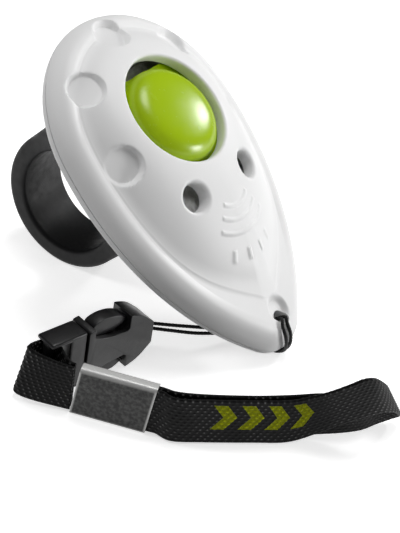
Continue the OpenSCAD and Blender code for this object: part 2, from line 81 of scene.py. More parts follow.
# ---- cord, buckle, crimp and webbing
CORD_D = 0.75
HALF_W = 6.2
HALF_T = 2.7
MOUTH = 7.3  # the socket runs from its mouth to its tail, measured from the plug's bar
TAIL = 23.3
WEB_W = 10.0
WEB_T = 0.9
LAYER = WEB_T / 2 + 0.06  # from the middle of the crimp to the middle of either layer
CRIMP_L = 14.3
CRIMP_YAW = 19.3
CRIMP_SKEW = 1.2  # its top lies this much further along the strap than its foot
CRIMP_H = WEB_W + 0.8
WEAVE_ROW = 0.72  # pitch of the threads across and along the webbing
WEAVE_STEP = 1.32
WEAVE_SHIFT = 0.37  # each row starts this part of a step later
THREAD_H = 0.13

# ---- places: the ring's bore is the origin, and the case leans so that its nose and the ring touch the floor
FLOOR = Vector((0, 0, RING_R))  # heights are worked from the floor, which is this far below the origin
NOSE_X = BLUNT_X + NOSE_DX
REST_DX = NOSE_X + NOSE_R - RIM_H - RING_X
PITCH = math.atan2(RING_DROP, REST_DX) + math.asin((RING_R - RIM_H) / math.hypot(REST_DX, RING_DROP))
CASE_X = -(RING_X * math.cos(PITCH) - RING_DROP * math.sin(PITCH))
CASE_Z = RING_R + RING_X * math.sin(PITCH) + RING_DROP * math.cos(PITCH)
CASE = Matrix.Translation((CASE_X, 0, CASE_Z)) @ Matrix.Rotation(PITCH, 4, "Y")
BUTTON = CASE @ Matrix.Translation((0, 0, DOME_H)) @ Matrix.Rotation(-TILT, 4, "Y")
CORD_HOLE = CASE @ Matrix.Translation((CORD_X, 0, 0))
BAR = Vector((23.6, -41.2, 6.2))  # middle of the plug's bar
BUCKLE_YAW = math.radians(75.4)
BUCKLE = Matrix.Translation(BAR) @ Matrix.Rotation(BUCKLE_YAW, 4, "Z") @ Matrix.Rotation(math.pi / 2, 4, "X")
WORLD = Matrix.Identity(4)

# ---- where the arcs of the outline meet
SIDE_A = SIDE_R - BLUNT_R
SIDE_B = SIDE_R - NOSE_R
SIDE_CX = (SIDE_A ** 2 - SIDE_B ** 2 + NOSE_DX ** 2) / (2 * NOSE_DX)
SIDE_CY = -math.sqrt(SIDE_A ** 2 - SIDE_CX ** 2)
JOIN_A = math.atan2(-SIDE_CY, -SIDE_CX)
JOIN_B = math.atan2(-SIDE_CY, NOSE_DX - SIDE_CX)


# ---- numbers and curves
def smoothstep(t):
    t = min(max(t, 0.0), 1.0)
    return t * t * (3 - 2 * t)


def turned(degrees):
    """Level unit vector at this bearing from x."""
    a = math.radians(degrees)
    return Vector((math.cos(a), math.sin(a), 0))


def catmull(points, n):
    """Smooth curve through points, n steps a span."""
    out = []
    last = len(points) - 1
    for i in range(last):
        p, q = points[i], points[i + 1]
        m = (q - points[max(i - 1, 0)]) / 2
        k = (points[min(i + 2, last)] - p) / 2
        for j in range(n + (i == last - 1)):
            t = j / n
            out.append(p + m * t + (3 * (q - p) - 2 * m - k) * t ** 2 + (m + k - 2 * (q - p)) * t ** 3)
    return out


def rounded(points):
    """Smooth plan curve through (x, y) points."""
    return [tuple(p)[:2] for p in catmull([Vector((*p, 0)) for p in points], 5)]


def cubic(p, p_dir, q, q_dir, pull, n):
    """Curve from p to q that leaves and arrives in the given directions."""
    a, b = p + pull * p_dir, q - pull * q_dir
    out = []
    for i in range(n + 1):
        t = i / n
        u = 1 - t
        out.append(u ** 3 * p + 3 * u * u * t * a + 3 * u * t * t * b + t ** 3 * q)
    return out


def lengths(points):
    """Length along a polyline at each of its points."""
    at = [0.0]
    for a, b in zip(points, points[1:]):
        at.append(at[-1] + (b - a).length)
    return at


def points_at(points, at, where):
    """Points of a polyline at rising lengths; at holds the length at each of its own points."""
    out = []
    i = 0
    for s in where:
        while i < len(at) - 2 and at[i + 1] < s:
            i += 1
        t = (s - at[i]) / max(at[i + 1] - at[i], 1e-9)
        out.append(points[i].lerp(points[i + 1], t))
    return out


def resample(points, step):
    """Points at equal steps along a polyline, and the length along it at each."""
    at = lengths(points)
    n = max(2, int(at[-1] / step))
    where = [at[-1] * k / n for k in range(n + 1)]
    return points_at(points, at, where), where


# ---- meshes
def mesh_object(name, shape, material, matrix=WORLD, uvs=None):
    """A smooth-shaded object from points in mm and faces; uvs holds two values for each point."""
    verts, faces = shape
    me = bpy.data.meshes.new(name)
    me.from_pydata([tuple((matrix @ Vector(v) - FLOOR) * MM) for v in verts], [], faces)
    me.validate()
    bm = bmesh.new()
    bm.from_mesh(me)
    bmesh.ops.recalc_face_normals(bm, faces=bm.faces)
    bm.to_mesh(me)
    bm.free()
    if uvs:
        layer = me.uv_layers.new(name="weave")
        for loop in me.loops:
            layer.data[loop.index].uv = uvs[loop.vertex_index]
    for p in me.polygons:
        p.use_smooth = True
    me.materials.append(material)
    ob = bpy.data.objects.new(name, me)
    bpy.context.scene.collection.objects.link(ob)
    return ob


def skin(rings, closed):
    """Points and faces of a skin through equal rings: closed returns to the first, open ends in two caps."""
    n, m = len(rings[0]), len(rings)
    verts = [p for r in rings for p in r]
    faces = []
    for i in range(m if closed else m - 1):
        k = (i + 1) % m
        for j in range(n):
            q = (j + 1) % n
            faces.append((i * n + j, k * n + j, k * n + q, i * n + q))
    if not closed:
        faces.append(tuple(range(n)))
        faces.append(tuple((m - 1) * n + j for j in range(n - 1, -1, -1)))
    return verts, faces


def lathe(profile, n):
    """Rings of a solid of revolution about z from an (r, z) profile."""
    turns = [2 * math.pi * j / n for j in range(n)]
    return [[(r * math.cos(a), r * math.sin(a), z) for a in turns] for r, z in profile]


def drill(r, z0, z1, matrix):
    """A round cutter."""
    return mesh_object("cutter", skin(lathe([(r, z0), (r, z1)], 64), False), MAT["shell"], matrix)


def prism(name, points, half):
    """A buckle part: a plan outline, half as thick to either side of the buckle's middle."""
    rings = [[(x, y, z) for x, y in points] for z in (-half, half)]
    return mesh_object(name, skin(rings, False), MAT["plastic"], BUCKLE)


def box(name, x0, x1, y, half):
    """A square buckle part, y to either side of the middle."""
    return prism(name, [(x0, -y), (x1, -y), (x1, y), (x0, y)], half)


def sharpen(ob, degrees=35):
    """Smooth shading that keeps edges sharper than this."""
    limit = math.radians(degrees)
    bm = bmesh.new()
    bm.from_mesh(ob.data)
    for e in bm.edges:
        e.smooth = len(e.link_faces) == 2 and e.calc_face_angle(0) < limit
    bm.to_mesh(ob.data)
    bm.free()


def apply_modifiers(ob):
    graph = bpy.context.evaluated_depsgraph_get()
    me = bpy.data.meshes.new_from_object(ob.evaluated_get(graph))
    ob.modifiers.clear()
    ob.data = me


def cut(ob, cutters):
    """Takes the cutters away from ob and removes them."""
    for c in cutters:
        m = ob.modifiers.new("cut", "BOOLEAN")
        m.operation = "DIFFERENCE"
        m.solver = "MANIFOLD"
        m.object = c
    apply_modifiers(ob)
    for c in cutters:
        bpy.data.objects.remove(c)


def bevel(ob, width, segments=3):
    """Rounds the edges sharper than 30 degrees."""
    m = ob.modifiers.new("bevel", "BEVEL")
    m.width = width * MM
    m.segments = segments
    m.limit_method = "ANGLE"
    m.angle_limit = math.radians(30)
    apply_modifiers(ob)


def place(ob, body, node=None):
    """Fixes a piece to its body; it shows instead of the node, where one is given."""
    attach(ob, body)
    if node:
        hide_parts(node)


# ---- parts of materials
def nodes_of(name):
    m = bpy.data.materials.new(name)
    m.use_nodes = True
    nt = m.node_tree
    return m, nt, nt.nodes["Principled BSDF"]


def link(nt, a, out, b, inp):
    nt.links.new(a.outputs[out], b.inputs[inp])


def grey(v):
    return (v, v, v, 1)


def noise(nt, scale, detail):
    tc = nt.nodes.new("ShaderNodeTexCoord")
    n = nt.nodes.new("ShaderNodeTexNoise")
    n.inputs["Scale"].default_value = scale
    n.inputs["Detail"].default_value = detail
    link(nt, tc, "Object", n, "Vector")
    return n


def ramp(nt, src, lo, hi, a=0.3, b=0.7):
    """Colour from lo to hi while the source goes from a to b."""
    r = nt.nodes.new("ShaderNodeValToRGB")
    r.color_ramp.elements[0].position = a
    r.color_ramp.elements[1].position = b
    r.color_ramp.elements[0].color = lo
    r.color_ramp.elements[1].color = hi
    link(nt, src, "Fac", r, "Fac")
    return r


def relief(nt, bsdf, height, depth):
    """Bump of this depth in mm from a height socket."""
    bump = nt.nodes.new("ShaderNodeBump")
    bump.inputs["Distance"].default_value = depth * MM
    nt.links.new(height, bump.inputs["Height"])
    link(nt, bump, "Normal", bsdf, "Normal")


def math_node(nt, op, a, b=None):
    """Result of one operation; a and b are numbers or sockets."""
    n = nt.nodes.new("ShaderNodeMath")
    n.operation = op
    for i, v in enumerate((a, b)):
        if isinstance(v, (int, float)):
            n.inputs[i].default_value = v
        elif v is not None:
            nt.links.new(v, n.inputs[i])
    return n.outputs[0]


def mixed(nt, factor, a, b, blend="MIX"):
    """Colour a with b over it; each is a colour or a socket."""
    n = nt.nodes.new("ShaderNodeMix")
    n.data_type = "RGBA"
    n.blend_type = blend
    for key, v in (("Factor", factor), ("A", a), ("B", b)):
        if isinstance(v, (int, float, tuple)):
            n.inputs[key].default_value = v
        else:
            nt.links.new(v, n.inputs[key])
    return n.outputs["Result"]


def stored_pair(nt):
    """The two values that mesh_object keeps for each point."""
    uv = nt.nodes.new("ShaderNodeUVMap")
    uv.uv_map = "weave"
    split = nt.nodes.new("ShaderNodeSeparateXYZ")
    link(nt, uv, "UV", split, "Vector")
    return split.outputs["X"], split.outputs["Y"]


# ---- materials
def surface(name, color, rough, metallic=0.0, *, grain, tint, depth=0.02, vary=0.06, patch=120, spec=0.5):
    """Procedural finish: colour and roughness drift over patches, fine grain in the surface."""
    m, nt, bsdf = nodes_of(name)
    lo = tuple(c * (1 - tint) for c in color) + (1,)
    hi = tuple(min(1, c * (1 + tint)) for c in color) + (1,)
    link(nt, ramp(nt, noise(nt, patch, 4), lo, hi), "Color", bsdf, "Base Color")
    roughness_glint_and_edge_tone = ramp(nt, noise(nt, patch * 6, 5), grey(rough - vary), grey(rough + vary))
    link(nt, roughness_glint_and_edge_tone, "Color", bsdf, "Roughness")
    relief(nt, bsdf, noise(nt, grain, 2).outputs["Fac"], depth)
    bsdf.inputs["Metallic"].default_value = metallic
    bsdf.inputs["Specular IOR Level"].default_value = spec
    return m


def thread_crests(nt, u, v):
    """High points of the weave, in step with weave_height."""
    rows = math_node(nt, "DIVIDE", v, WEAVE_ROW)
    row = math_node(nt, "FLOOR", rows)
    across = math_node(nt, "SINE", math_node(nt, "MULTIPLY", math_node(nt, "SUBTRACT", rows, row), math.pi))
    steps = math_node(nt, "DIVIDE", u, WEAVE_STEP)
    turns = math_node(nt, "SUBTRACT", steps, math_node(nt, "MULTIPLY", row, WEAVE_SHIFT))
    wave = math_node(nt, "COSINE", math_node(nt, "MULTIPLY", turns, 2 * math.pi))
    along = math_node(nt, "ADD", math_node(nt, "MULTIPLY", wave, 0.5), 0.5)
    return math_node(nt, "MULTIPLY", math_node(nt, "POWER", across, 2.0), math_node(nt, "POWER", along, 2.0))


def between(nt, x, lo, hi):
    """1 where x lies between the limits."""
    return math_node(nt, "MULTIPLY", math_node(nt, "GREATER_THAN", x, lo), math_node(nt, "LESS_THAN", x, hi))


def chevrons(nt, u, v):
    """Mask of a row of plain chevrons along the outer face of the strap."""
    start, pitch, count = 26.4, 5.1, 4
    middle, half_high, slant = 6.2, 2.8, 0.75
    off = math_node(nt, "ABSOLUTE", math_node(nt, "SUBTRACT", v, middle))
    x = math_node(nt, "ADD", math_node(nt, "SUBTRACT", u, start), math_node(nt, "MULTIPLY", off, slant))
    band = between(nt, math_node(nt, "FRACT", math_node(nt, "DIVIDE", x, pitch)), 0.1, 0.6)
    inside = between(nt, x, 0.0, pitch * count)
    return math_node(nt, "MULTIPLY", math_node(nt, "MULTIPLY", band, inside),
                     math_node(nt, "LESS_THAN", off, half_high))


def webbing(name, motif):
    """Black webbing with painted highlights on the crests of its threads; motif adds a row of plain lime
    chevrons on the outer face, with painted shade between the threads.
    """
    m, nt, bsdf = nodes_of(name)
    u, v = stored_pair(nt)
    crests = thread_crests(nt, u, v)
    fuzz = noise(nt, 4200, 4)
    # patches of noise that vary how strongly the painted highlights show
    roughness_glint_and_edge_tone = ramp(nt, noise(nt, 160, 3), grey(0.0), grey(1), 0.4, 0.62)
    dark = ramp(nt, fuzz, (0.002, 0.002, 0.002, 1), (0.007, 0.007, 0.0073, 1))
    # painted highlight: the thread crests are coloured towards light grey
    glint = math_node(nt, "MULTIPLY", math_node(nt, "POWER", crests, 3.0), roughness_glint_and_edge_tone.outputs["Color"])
    color = mixed(nt, glint, dark.outputs["Color"], (0.2, 0.2, 0.2, 1))
    if motif:
        lime = ramp(nt, fuzz, (0.25, 0.29, 0.0, 1), (0.62, 0.68, 0.003, 1), 0.3, 0.62)
        # painted shade: the lime is darkened between the thread crests
        shaded = mixed(nt, 0.45, lime.outputs["Color"], crests, "MULTIPLY")
        color = mixed(nt, chevrons(nt, u, v), color, shaded)
    nt.links.new(color, bsdf.inputs["Base Color"])
    bsdf.inputs["Roughness"].default_value = 0.5
    bsdf.inputs["Specular IOR Level"].default_value = 0.12
    relief(nt, bsdf, crests, 0.05)
    return m


def crimp_finish(name):
    """Dark scuffed metal, lighter where the first stored value is high."""
    m, nt, bsdf = nodes_of(name)
    mottled = ramp(nt, noise(nt, 1500, 8), (0.01, 0.01, 0.01, 1), (0.065, 0.065, 0.063, 1), 0.38, 0.68)
    lighter_edges, _ = stored_pair(nt)
    color = mixed(nt, lighter_edges, mottled.outputs["Color"], (0.62, 0.62, 0.61, 1))
    nt.links.new(color, bsdf.inputs["Base Color"])
    bsdf.inputs["Metallic"].default_value = 0.4
    link(nt, ramp(nt, noise(nt, 1700, 5), grey(0.34), grey(0.5)), "Color", bsdf, "Roughness")
    relief(nt, bsdf, noise(nt, 1500, 6).outputs["Fac"], 0.02)
    return m


def floor_material():
    """Pale floor that looks bright to the camera and throws little light back up."""
    m, nt, bsdf = nodes_of("floor_pale")
    path = nt.nodes.new("ShaderNodeLightPath")
    seen = math_node(nt, "MAXIMUM", path.outputs["Is Camera Ray"], path.outputs["Is Glossy Ray"])
    pale = ramp(nt, noise(nt, 6, 2), grey(0.9), grey(0.93))
    nt.links.new(mixed(nt, seen, grey(0.4), pale.outputs["Color"]), bsdf.inputs["Base Color"])
    bsdf.inputs["Roughness"].default_value = 0.8
    bsdf.inputs["Emission Color"].default_value = grey(1)
    nt.links.new(math_node(nt, "MULTIPLY", seen, 0.6), bsdf.inputs["Emission Strength"])
    return m


MAT = {
    "shell": surface("shell_white", (0.82, 0.82, 0.82), 0.45,
                     grain=9000, depth=0.006, vary=0.04, patch=60, tint=0.01, spec=0.4),
    "lime": surface("button_lime", (0.36, 0.53, 0.0), 0.25,
                    grain=3800, depth=0.022, vary=0.03, patch=90, tint=0.02),
    "rubber": surface("ring_rubber", (0.008, 0.008, 0.0085), 0.5,
                      grain=6500, vary=0.08, tint=0.15, spec=0.3),
    "plastic": surface("buckle_black", (0.007, 0.007, 0.0075), 0.36,
                       grain=5000, depth=0.012, tint=0.1),
    "cord": surface("cord_black", (0.006, 0.006, 0.0065), 0.55,
                    grain=9000, depth=0.03, vary=0.1, tint=0.3, spec=0.25),
    "leaf": surface("leaf_steel", (0.85, 0.85, 0.84), 0.55, 0.2,
                    grain=2600, depth=0.05, vary=0.15, patch=700, tint=0.25),
    "plate": surface("plate_steel", (0.6, 0.6, 0.6), 0.4, 0.7,
                     grain=4000, vary=0.1, patch=400, tint=0.12),
    "screw": surface("screw_steel", (0.6, 0.6, 0.62), 0.35, 0.8,
                     grain=5000, depth=0.015, vary=0.08, patch=500, tint=0.1),
    "ferrule": surface("ferrule_dark", (0.05, 0.05, 0.05), 0.4, 0.8,
                       grain=4000, vary=0.08, tint=0.1),
    "web": webbing("web_black", False),
    "strap": webbing("strap_black", True),
    "crimp": crimp_finish("crimp_metal"),
}


# ---- case outline and dome
FOOT_IN = RIM_W + 0.4  # inset of the dome's foot from the outline
FOOT_SLOPE = 1.4  # of the fillet that runs up to the foot
SKIN_R = OPEN_R - 1.2  # the dome's curve starts inside the opening


def directions(blunt_n, side_n, nose_n):
    """Outward directions all round the outline, with this many steps on each arc of a half."""
    half = [math.pi + (JOIN_A - math.pi) * i / blunt_n for i in range(blunt_n)]
    half += [JOIN_A + (JOIN_B - JOIN_A) * i / side_n for i in range(side_n)]
    half += [JOIN_B * (1 - i / nose_n) for i in range(nose_n)]
    return [0.0] + half[:0:-1] + [half[0]] + [-a for a in half[1:]]


def outline(a, inset):
    """Point of the plan outline whose outward direction is a, moved in by inset."""
    s = abs(a)
    if s >= JOIN_A:
        x, y, r = BLUNT_X, 0, BLUNT_R
    elif s >= JOIN_B:
        x, y, r = BLUNT_X + SIDE_CX, SIDE_CY, SIDE_R
    else:
        x, y, r = NOSE_X, 0, NOSE_R
    y += (r - inset) * math.sin(s)
    return x + (r - inset) * math.cos(s), (-y if a < 0 else y)


def level_ring(dirs, inset, z):
    """The outline moved in by inset, at one height."""
    return [Vector((*outline(a, inset), z)) for a in dirs]


def dome_base(a, inset):
    """Point of the dome's foot line, drawn back at the nose."""
    x, y = outline(a, inset)
    c = max(x, 0) / math.hypot(x, y)
    k = 1 - NOSE_FLAT * c ** 12
    return x * k, y * k


def toward(base, r, z):
    """Point at plan radius r and height z on the ray to this point of the base."""
    d = math.hypot(*base)
    return Vector((base[0] / d * r, base[1] / d * r, z))


def dome_part(base, r):
    """0 where the dome's curve starts, 1 at this point of its base."""
    return min(max((r - SKIN_R) / (math.hypot(*base) - SKIN_R), 0.0), 1.0)


def dome_height(base, r):
    """Height of the dome at plan radius r along the ray to this point of its base."""
    high = DOME_H + base[0] / math.hypot(*base) * SKIN_R * math.tan(TILT)
    return RIM_H + (high - RIM_H) * (1 - dome_part(base, r) ** 2.2) ** 1.1


def dome_at(angle, r):
    """Height of the dome at a polar angle and plan radius."""
    lo, hi = 0.0, math.pi
    for _ in range(40):
        mid = (lo + hi) / 2
        b = dome_base(mid, FOOT_IN)
        lo, hi = (mid, hi) if math.atan2(b[1], b[0]) < abs(angle) else (lo, mid)
    return dome_height(dome_base(lo, FOOT_IN), r)


def blend_up(a, b):
    """The higher of two heights, with a soft fillet where they meet."""
    reach = 1.5
    h = max(reach - abs(a - b), 0.0) / reach
    return max(a, b) + h * h * reach / 4


def valley(x):
    """Depth of the soft valley between the rim and the dome; it fades out towards the nose."""
    return 0.5 * smoothstep((NOSE_X + 1 - x) / 14)


def band_point(a, inset):
    """Point of the rim band, which crests short of the dome's foot."""
    x, y = outline(a, inset)
    q = 1 - min(inset / RIM_W, 1.0)
    z = RIM_H * math.sqrt(1 - q * q) - valley(x) * smoothstep((inset - 2.3) / 2.2)
    b = dome_base(a, FOOT_IN)
    foot = RIM_H - valley(x) - FOOT_SLOPE * math.hypot(b[0] - x, b[1] - y)
    return Vector((x, y, max(blend_up(z, foot) if z > 3.5 else z, SEAM)))


def valley_point(a, part):
    """Point this part of the way from the rim band to the dome's foot."""
    m = outline(a, RIM_W)
    b = dome_base(a, FOOT_IN)
    x, y = m[0] + (b[0] - m[0]) * part, m[1] + (b[1] - m[1]) * part
    low = RIM_H - valley(x)
    return Vector((x, y, blend_up(low, low - FOOT_SLOPE * math.hypot(b[0] - x, b[1] - y))))


def dome_skin(base, r):
    """Height of the visible dome: the dome, brought down to the valley with a fillet."""
    dip = valley(base[0] / math.hypot(*base) * r)
    return blend_up(dome_height(base, r) - dip * dome_part(base, r) ** 6, RIM_H - dip)


# ---- features pressed into the dome
def feature(index, slope_deg):
    """Centre on the dome and outward axis of a round feature on the ring of holes, in sevenths of a turn."""
    a = 2 * math.pi / 7 * index
    z = dome_at(math.atan2(math.sin(a), math.cos(a)), HOLE_RING)
    spin = Matrix.Rotation(a, 3, "Z") @ Matrix.Rotation(math.radians(slope_deg), 3, "Y")
    return Vector((HOLE_RING * math.cos(a), HOLE_RING * math.sin(a), z)), spin @ Vector((0, 0, 1))


DIMPLES = [feature(1.5, 30), feature(2.5, 28), feature(3.5, 26), feature(4.5, 28), feature(5.5, 30)]
SOUNDS = [feature(0.56, 12), feature(-0.56, 12)]
RECESS_X = 43.6  # the recess that leads to the cord's hole
RECESS_R = 3.0
RECESS_DEPTH = 1.1
MOTIF_X = 15.5  # the raised arcs and bars spread from here
MOTIF_H = 0.22
MOTIF_EDGE = 0.4


def from_axis(p, centre, axis):
    """Distance of p along a feature's axis and away from it."""
    rel = p - centre
    along = rel.dot(axis)
    return along, (rel - axis * along).length


def press(p):
    """Moves a point of the dome for the dimples, the lips of the holes, the recess and the raised motif."""
    for centre, axis in DIMPLES:
        along, d = from_axis(p, centre, axis)
        if d < DIMPLE_R + 0.4 and along > -DIMPLE_DEPTH:
            g = 1 - smoothstep((d - (DIMPLE_R - 0.55)) / 0.8)
            p = p - axis * g * (along + DIMPLE_DEPTH)
    for centre, axis in SOUNDS:
        _, d = from_axis(p, centre, axis)
        if SOUND_R - 0.4 < d < SOUND_R + SOUND_LIP:
            t = 1 - max(d - SOUND_R, 0) / SOUND_LIP
            p = p - axis * SOUND_LIP * (1 - math.sqrt(max(1 - t * t, 0)))
    d = math.hypot(p.x - RECESS_X, p.y)
    if d < RECESS_R and p.z > 1:
        p = p - Vector((0, 0, RECESS_DEPTH * smoothstep(2.4 * (1 - d / RECESS_R))))
    return p + Vector((0, 0, raised(p.x, p.y)))


def raised(x, y):
    """Height of the plain motif in front of the opening: three arcs and four short bars."""
    r = math.hypot(x - MOTIF_X, y)
    ang = abs(math.atan2(y, x - MOTIF_X))
    inside = 0.0
    for radius in (6.2, 8.8, 11.4):
        across = 0.55 - abs(r - radius)
        along = (0.62 - ang) * r + 0.55
        inside = max(inside, min(across, along))
    for k in range(4):
        a = (k - 1.5) * 0.25
        u = (x - MOTIF_X) * math.cos(a) + y * math.sin(a) - 15.6
        v = -(x - MOTIF_X) * math.sin(a) + y * math.cos(a)
        inside = max(inside, min(1.25 - abs(u), 0.62 - abs(v)))
    return MOTIF_H * smoothstep(inside / MOTIF_EDGE)


# ---- shells
def rim_rings(dirs):
    """Outer skin from the seam over the rim band and the valley, up to the dome's foot."""
    insets = [RIM_W * (1 - math.cos(math.pi / 2 * i / 24)) for i in range(25)]
    rings = [[press(band_point(a, inset)) for a in dirs] for inset in insets]
    rings += [[press(valley_point(a, i / 18)) for a in dirs] for i in range(1, 18)]
    return rings


def dome_rings(dirs):
    """Outer skin from the dome's foot up to the opening, over its lip and down inside it."""
    bases = [dome_base(a, FOOT_IN) for a in dirs]
    crest = OPEN_R + LIP
    steps = 112
    rings = []
    for i in range(steps + 1):
        ring = []
        for b in bases:
            r = crest + (math.hypot(*b) - crest) * (1 - i / steps)
            ring.append(press(toward(b, r, dome_skin(b, r))))
        rings.append(ring)
    edge = [math.pi / 2 * i / 5 for i in range(1, 6)]
    inner = [(LIP * (1 - math.cos(t)), crest - LIP * math.sin(t)) for t in edge]
    inner += [(2.4, OPEN_R), (2.8, OPEN_R + 0.3), (3.0, OPEN_R + 1.2)]
    for drop, r in inner:
        rings.append([toward(b, r, dome_height(b, crest) - drop) for b in bases])
    return rings


def hollow_rings(dirs):
    """Inner skin from the opening down the dome."""
    bases = [dome_base(a, RIM_W + 1.4) for a in dirs]
    start = OPEN_R + 1.2
    rings = []
    for s in (0.25, 0.5, 0.75, 0.95):
        ring = []
        for b in bases:
            r = start + (math.hypot(*b) - start) * s
            ring.append(toward(b, r, dome_height(b, r) - WALL - (1 - s)))
        rings.append(ring)
    return rings


def inner_inset(t):
    """Inset of the inside of the rim, which is WALL thick at the seam."""
    return WALL + (RIM_W - WALL + 0.6) * (1 - math.cos(t))


def top_shell():
    dirs = directions(96, 130, 64)
    rings = rim_rings(dirs) + dome_rings(dirs) + hollow_rings(dirs)
    for t in (1.05, 0.5, 0.0):
        rings.append(level_ring(dirs, inner_inset(t), SEAM + (RIM_H - WALL) * math.sin(t)))
    ob = mesh_object("top_shell_skin", skin(rings, True), MAT["shell"], CASE)
    cutters = []
    for centre, axis in SOUNDS:
        turn = axis.to_track_quat("Z", "Y").to_matrix().to_4x4()
        cutters.append(drill(SOUND_R, -6, 4, CASE @ Matrix.Translation(centre) @ turn))
    cutters.append(drill(CORD_HOLE_R, -1, 9, CORD_HOLE))
    cut(ob, cutters)
    sharpen(ob)
    place(ob, "case", "top_shell")
    cord_sleeve()


def cord_sleeve():
    """The tube inside the top shell that the cord passes through."""
    profile = [(CORD_HOLE_R, 0.1), (2.9, 0.1), (2.9, 2.5), (CORD_HOLE_R, 2.5)]
    ob = mesh_object("cord_sleeve", skin(lathe(profile, 48), True), MAT["shell"], CORD_HOLE)
    sharpen(ob)
    place(ob, "case")


def back_shell():
    dirs = directions(40, 50, 30)
    flat_in = RIM_W + 4.4
    rings = [level_ring(dirs, flat_in, -BACK_H)]
    for inset, z in ((7.6, -4.97), (6.6, -4.82), (5.4, -4.4), (4.6, -4.1)):
        rings.append(level_ring(dirs, inset, z))
    for i in range(13):
        t = math.pi / 2 * (1 - i / 12)
        z = -SEAM - (BACK_RIM_H - SEAM) * math.sin(t)
        rings.append(level_ring(dirs, RIM_W * (1 - math.cos(t)), z))
    for t in (0.0, 0.6, 1.1, 1.57):
        rings.append(level_ring(dirs, inner_inset(t), -SEAM - (BACK_RIM_H - WALL) * math.sin(t)))
    rings.append(level_ring(dirs, flat_in, -BACK_H + WALL))
    ob = mesh_object("back_shell_skin", skin(rings, False), MAT["shell"], CASE)
    cutters = []
    for x, y in ((2, 17.8), (2, -17.8), (31, 8), (31, -8)):
        at = CASE @ Matrix.Translation((x, y, 0))
        cutters.append(drill(2.1, -9, -BACK_H + 1.95, at))
    cutters.append(drill(CORD_HOLE_R, -9, 1, CORD_HOLE))
    cut(ob, cutters)
    sharpen(ob)
    place(ob, "case", "back_shell")


# ---- button
def button_profile():
    """(r, z, shift) from the middle of the crown round the flange to the tip of the peg."""
    crown = catmull([Vector((r, 0, z)) for r, z in (
        (0, 1.2), (2.5, 1.15), (5, 0.95), (6.8, 0.68), (8.2, 0.2), (9.3, -0.6), (BUTTON_R, -1.6),
        (BUTTON_R + 0.3, -2.8), (BUTTON_R + 0.35, -3.1))], 5)
    profile = [(max(p.x, 0.01), p.z, BUTTON_DX) for p in crown]
    profile += [(FLANGE_R - 0.15, -3.12, 0), (FLANGE_R, -3.25, 0), (FLANGE_R, -4.1, 0)]
    profile += [(FLANGE_R - 0.1, -4.2, 0), (8.6, -4.2, 0), (7.9, -4.2, 0)]
    profile += [(7.9, -2.8, 0), (2.4, -2.8, 0), (PEG_R, -3.0, 0)]
    centre = (LEAF_TOP + PEG_R + 0.06 - DOME_H) / math.cos(TILT)
    for t in (0, 0.4, 0.8, 1.2, 1.55):
        profile.append((max(PEG_R * math.cos(t), 0.01), centre - PEG_R * math.sin(t), 0))
    return profile


def button():
    """Turned crown and peg; the flange is cut straight on the side of the blunt end."""
    n = 192
    rings = []
    for r, z, shift in button_profile():
        ring = []
        for j in range(n):
            a = 2 * math.pi * j / n
            q = r
            on_flange = z < -3.11 and r > 9.8
            if on_flange and math.cos(a) < -0.3:
                q = min(r, max(FLANGE_FLAT / -math.cos(a), FLANGE_FLAT - 0.25))
            ring.append((shift + q * math.cos(a), q * math.sin(a), z))
        rings.append(ring)
    ob = mesh_object("button_skin", skin(rings, False), MAT["lime"], BUTTON)
    sharpen(ob, 40)
    place(ob, "button", "button_cap")


# ---- finger ring
def band_section(reach, edge):
    """(r, pull) from the bore to the outside of one side face; pull is the distance in from that face."""
    quarter = [math.pi / 2 * i / 5 for i in range(6)]
    path = [(BORE_R + RING_EDGE * (1 - math.cos(t)), RING_EDGE * (1 - math.sin(t))) for t in quarter]
    for k in (0.25, 0.5, 0.75):
        path.append((BORE_R + RING_EDGE + (reach - BORE_R - 2 * RING_EDGE) * k, 0.0))
    path += [(reach - edge * (1 - math.sin(t)), edge * (1 - math.cos(t))) for t in quarter]
    return path


def finger_ring():
    """Round band that widens to a flat saddle under the back shell."""
    rise = RING_DROP - BACK_H - 0.03
    n = 240
    sections = []
    for j in range(n):
        a = 2 * math.pi * j / n
        c, s = math.cos(a), math.sin(a)
        reach = RING_R
        if s > 0:
            flare = RING_R + 1.6 * smoothstep((s * 20 - 12) / 8)
            reach = min(flare / max(abs(c), 1e-6), rise / s)
        flat = smoothstep(s * reach - rise + 1.2)
        path = band_section(reach, RING_EDGE * (1 - flat) + 0.05)
        ring = []
        for side, points in ((1, path), (-1, path[::-1])):
            for r, pull in points:
                z = r * s
                w = RING_W / 2 + (SADDLE_W - RING_W) / 2 * smoothstep(max(z, 0) / (rise - 1)) ** 0.9
                ring.append((RING_X + r * c, side * (w - pull), -RING_DROP + z))
        sections.append(ring)
    ob = mesh_object("ring_band", skin(sections, True), MAT["rubber"], CASE)
    sharpen(ob, 50)
    place(ob, "case", "finger_ring")


# ---- cord
def braid(points, name, body, side, node):
    """A plaited cord through the points; side sets where its seam runs."""
    pts, at = resample(catmull([Vector(p) for p in points], 10), 0.13)
    twist, relief_h = 4.2, 0.055
    rings = []
    n = 14
    for i, p in enumerate(pts):
        t = (pts[min(i + 1, len(pts) - 1)] - pts[max(i - 1, 0)]).normalized()
        u = t.cross(Vector(side)).normalized()
        w = u.cross(t)
        ring = []
        for j in range(n):
            a = 2 * math.pi * j / n
            strands = math.sin(3 * a + at[i] * twist) * math.sin(3 * a - at[i] * twist)
            h = relief_h * abs(strands) ** 0.7
            ring.append(p + (u * math.cos(a) + w * math.sin(a)) * (CORD_D / 2 - 0.05 + h))
        rings.append(ring)
    place(mesh_object(name, skin(rings, False), MAT["cord"]), body, node)


def over_nose(degrees, y, half):
    """A point of the hitch just outside the nose, at this angle up from the seam."""
    a = math.radians(degrees)
    high = RIM_H if degrees > 0 else BACK_RIM_H
    return NOSE_X + NOSE_R - RIM_W + (RIM_W + 0.5) * math.cos(a), y, (high + 0.5) * math.sin(a), half


